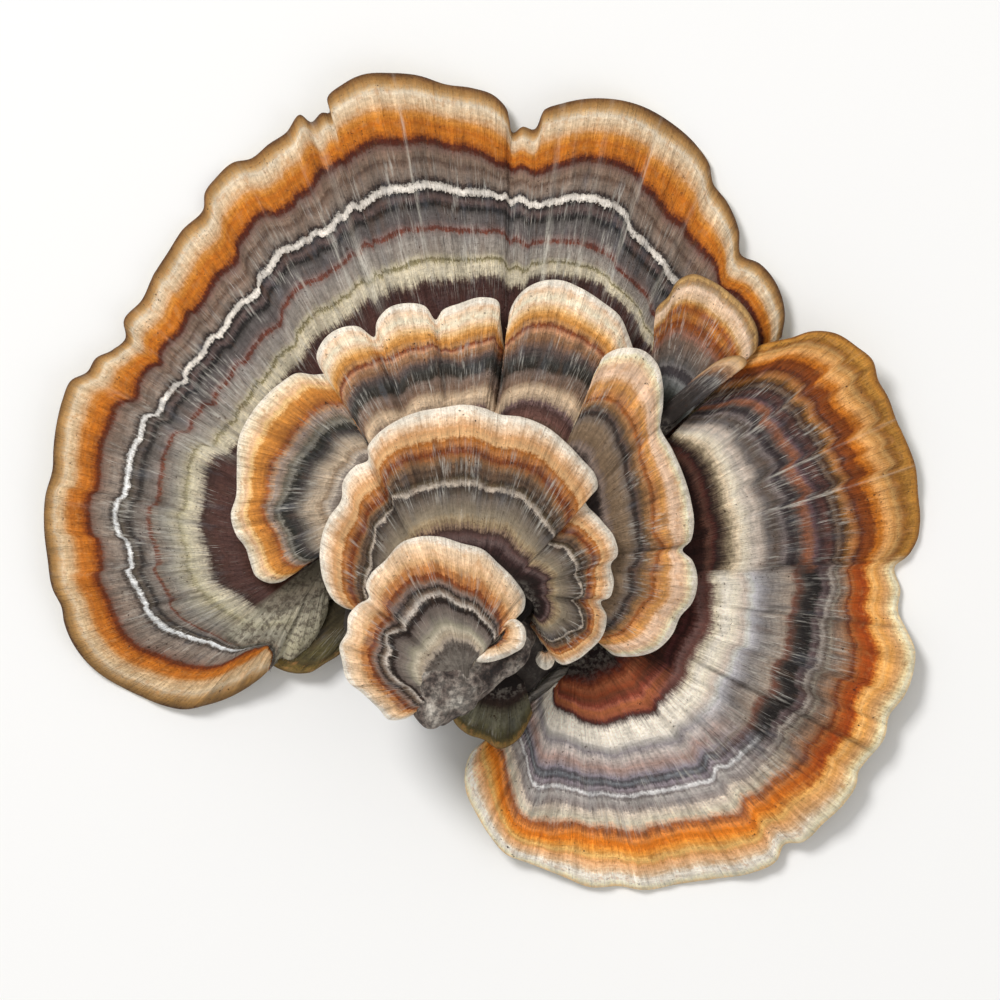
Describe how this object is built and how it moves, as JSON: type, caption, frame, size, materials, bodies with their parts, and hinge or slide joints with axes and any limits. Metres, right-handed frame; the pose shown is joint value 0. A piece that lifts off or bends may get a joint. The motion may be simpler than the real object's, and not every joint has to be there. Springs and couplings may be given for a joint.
{
  "type": "turkey tail fungus",
  "caption": "Rosette of overlapping thin fan-shaped bracket fungi with zoned velvety tops, pale pored undersides and a foot cut off flat where it grew on wood.",
  "frame": {"origin": "middle of the foot's flat cut face, which lies at z = 0", "axes": "+Z out of the brackets' upper surfaces, -Z out of the cut face; +Y from the foot towards the great cap's farthest margin; +X towards the side cap"},
  "size_m": [0.1188, 0.1107, 0.0272],
  "materials": {
    "foot_skin": "matte",
    "great_cap_skin": "matte",
    "side_cap_skin": "matte",
    "upper_flap_skin": "matte",
    "narrow_flap_skin": "matte",
    "middle_left_cap_skin": "matte",
    "middle_cap_skin": "matte",
    "middle_right_cap_skin": "matte",
    "inner_cap_skin": "matte",
    "top_cap_skin": "matte",
    "olive_left_cap_skin": "matte",
    "olive_front_cap_skin": "matte"
  },
  "bodies": {
    "root": {"foot": "foot_skin", "great_cap": "great_cap_skin", "side_cap": "side_cap_skin", "upper_flap": "upper_flap_skin", "narrow_flap": "narrow_flap_skin", "middle_left_cap": "middle_left_cap_skin", "middle_cap": "middle_cap_skin", "middle_right_cap": "middle_right_cap_skin", "inner_cap": "inner_cap_skin", "top_cap": "top_cap_skin", "olive_left_cap": "olive_left_cap_skin", "olive_front_cap": "olive_front_cap_skin"}
  },
  "joints": []
}
